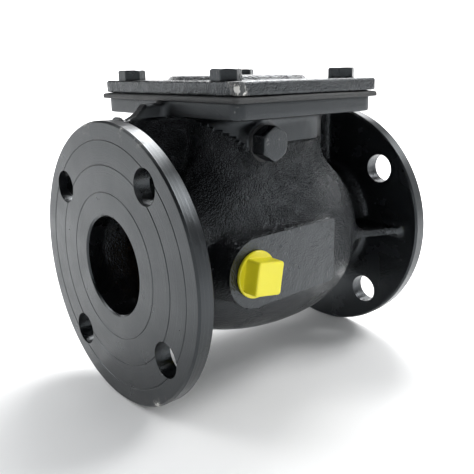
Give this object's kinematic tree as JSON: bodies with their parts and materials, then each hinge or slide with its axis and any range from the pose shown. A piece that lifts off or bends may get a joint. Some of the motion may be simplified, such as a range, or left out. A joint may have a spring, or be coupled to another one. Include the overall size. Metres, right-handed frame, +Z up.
{
  "type": "swing check valve",
  "caption": "Flanged swing check valve: a cast body with a bolted top cover, and inside it a hinged clapper that closes on a seat ring to stop reverse flow.",
  "frame": {"origin": "centre of the inlet flange's face, on the pipe axis", "axes": "+X along the pipe axis in the direction of flow, from the inlet flange to the outlet flange; +Z up through the cover; +Y across, away from the side with the plugs"},
  "size_m": [0.216, 0.185, 0.2147],
  "materials": {
    "black_enamel": "glossy black enamel over rough cast iron",
    "gasket_sheet": "dark fibre-and-rubber joint sheet, matt",
    "yellow_plastic": "bright yellow moulded polyethylene",
    "bronze": "machined bronze",
    "stainless_steel": "turned stainless steel",
    "cast_iron": "bare cast iron, machined where it seats"
  },
  "bodies": {
    "valve_body": {"body": "black_enamel", "cover": "black_enamel", "cover_gasket": "gasket_sheet", "port_plug": "yellow_plastic", "seat_ring": "bronze", "hinge_pin": "stainless_steel", "hinge_bush_near": "bronze", "hinge_bush_far": "bronze", "pin_plug": "black_enamel", "pin_plug_washer": "gasket_sheet", "cover_bolt_1": "black_enamel", "cover_bolt_2": "black_enamel", "cover_bolt_3": "black_enamel", "cover_bolt_4": "black_enamel"},
    "clapper_arm": {"hinge_arm": "cast_iron"},
    "clapper_disc": {"disc": "cast_iron", "disc_face_ring": "bronze", "disc_washer": "stainless_steel", "disc_nut": "stainless_steel", "cotter_pin": "stainless_steel"}
  },
  "joints": [
    {"name": "clapper_swing", "type": "hinge", "parent": "valve_body", "child": "clapper_arm", "pos_m": [0.08135, 0, 0.07647], "axis": [0, -1, 0], "range_deg": [0, 52]},
    {"name": "disc_spin", "type": "hinge", "parent": "clapper_arm", "child": "clapper_disc", "pos_m": [0.077, 0, 0], "axis": [0.9962, 0, 0.0872], "continuous": true}
  ]
}
